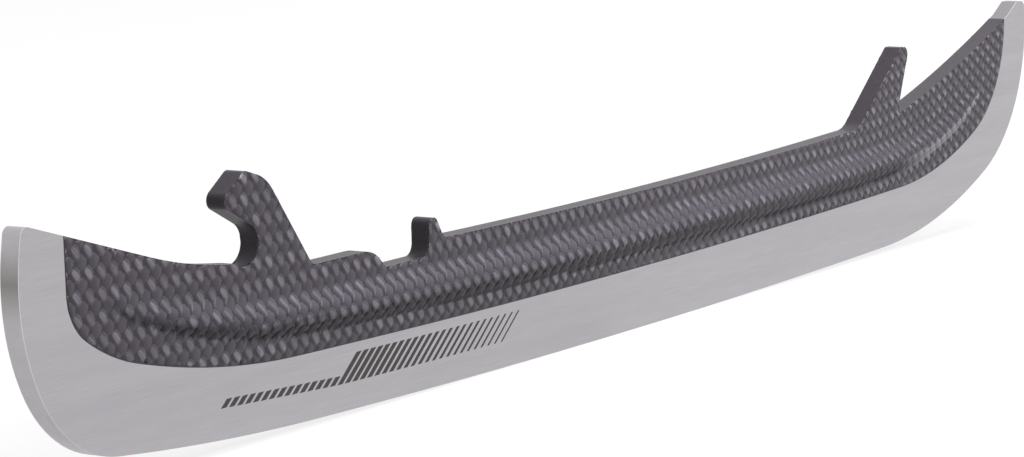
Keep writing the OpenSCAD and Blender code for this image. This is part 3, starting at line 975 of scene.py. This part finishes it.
# The trim: what hangs over the outline is drawn back towards its tow's own seat until it meets the edge,
# which is found by halving.
flat_at = parts_of(tree, put(tree, "GeometryNodeInputPosition").outputs[0])
anchor = parts_of(tree, recalled(tree, "anchor", "FLOAT_VECTOR"))
is_over = under(tree, flat_at["X"], flat_at["Z"])["Is Hit"]
way_out = 0.0
step = 0.5
for halving in range(trim_halvings):
    tried = maths(tree, "ADD", way_out, step)
    tried_x = part_way(tree, anchor["X"], flat_at["X"], tried)
    tried_z = part_way(tree, anchor["Z"], flat_at["Z"], tried)
    found = under(tree, tried_x, tried_z)["Is Hit"]
    way_out = maths(tree, "ADD", way_out, maths(tree, "MULTIPLY", found, step))
    step = step / 2
way_out = maths(tree, "MAXIMUM", way_out, is_over)
trimmed_x = part_way(tree, anchor["X"], flat_at["X"], way_out)
trimmed_z = part_way(tree, anchor["Z"], flat_at["Z"], way_out)

# The drape: the trimmed braid moves out along the blade's thickness until it lies on the face.
hit = under(tree, trimmed_x, trimmed_z)
face_y = maths(tree, "MULTIPLY", parts_of(tree, hit["Hit Position"])["Y"], hit["Is Hit"])
rim_y = maths(tree, "MULTIPLY", flat_y, maths(tree, "SUBTRACT", 1, hit["Is Hit"]))
stand_out = maths(tree, "MULTIPLY", flat_at["Y"], part_way(tree, sizes["Edge share"], 1, is_over))
draped_y = maths(tree, "ADD", maths(tree, "ADD", face_y, rim_y), stand_out)
flanked = stored(tree, real, "flank", parts_of(tree, hit["Hit Normal"])["Z"])
draped = put(tree, "GeometryNodeSetPosition", {
    "Geometry": flanked,
    "Position": vector(tree, trimmed_x, draped_y, trimmed_z),
}).outputs[0]
finished = put(tree, "GeometryNodeSetMaterial", {
    "Geometry": draped,
    "Material": sizes["Material"],
}).outputs[0]
put(tree, "NodeGroupOutput", {0: finished})

families = (
    ("falling", 1.0, 0.0, falling_tow),
    ("rising", -1.0, 0.5, rising_tow),
)
for side, sign in (("right", -1.0), ("left", 1.0)):
    skin = "braid_skin_" + side
    give(skin, bed)
    for family, fall, half_step, material in families:
        tows = grow(family + "_tows_" + side, braid_tree, {
            "Face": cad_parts[skin],
            "Side": sign,
            "Fall": fall,
            "Half step": half_step,
            "Pitch along": tow_pitch_along,
            "Pitch up at heel": tow_pitch_up_heel,
            "Pitch up at toe": tow_pitch_up_toe,
            "Columns": tow_columns,
            "Rows": tow_rows,
            "Rows below": tow_rows_below,
            "First X": tow_first_x,
            "Squeeze from": tow_squeeze_from,
            "Squeeze": tow_squeeze,
            "Row zero Z": tow_row_zero,
            "Heel lift": heel_lift,
            "Heel lift from": heel_lift_from,
            "Heel lift over": heel_lift_over,
            "Heel lift power": heel_lift_power,
            "Toe lift": toe_lift,
            "Toe lift from": toe_lift_from,
            "Toe lift over": toe_lift_over,
            "Toe lift power": toe_lift_power,
            "Face Y": steel_half,
            "Length": tow_length,
            "Width": tow_width,
            "Height": tow_height,
            "Sink": tow_sink,
            "Dive": tow_dive,
            "Fullness": tow_fullness,
            "Crown fullness": tow_crown_fullness,
            "Edge share": tow_edge_share,
            "Segments": tow_segments,
            "Rings": tow_rings,
            "Probe from": probe_from,
            "Probe length": probe_length,
            "Seed": tow_seed,
            "Material": material,
        })
        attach(tows, "root")
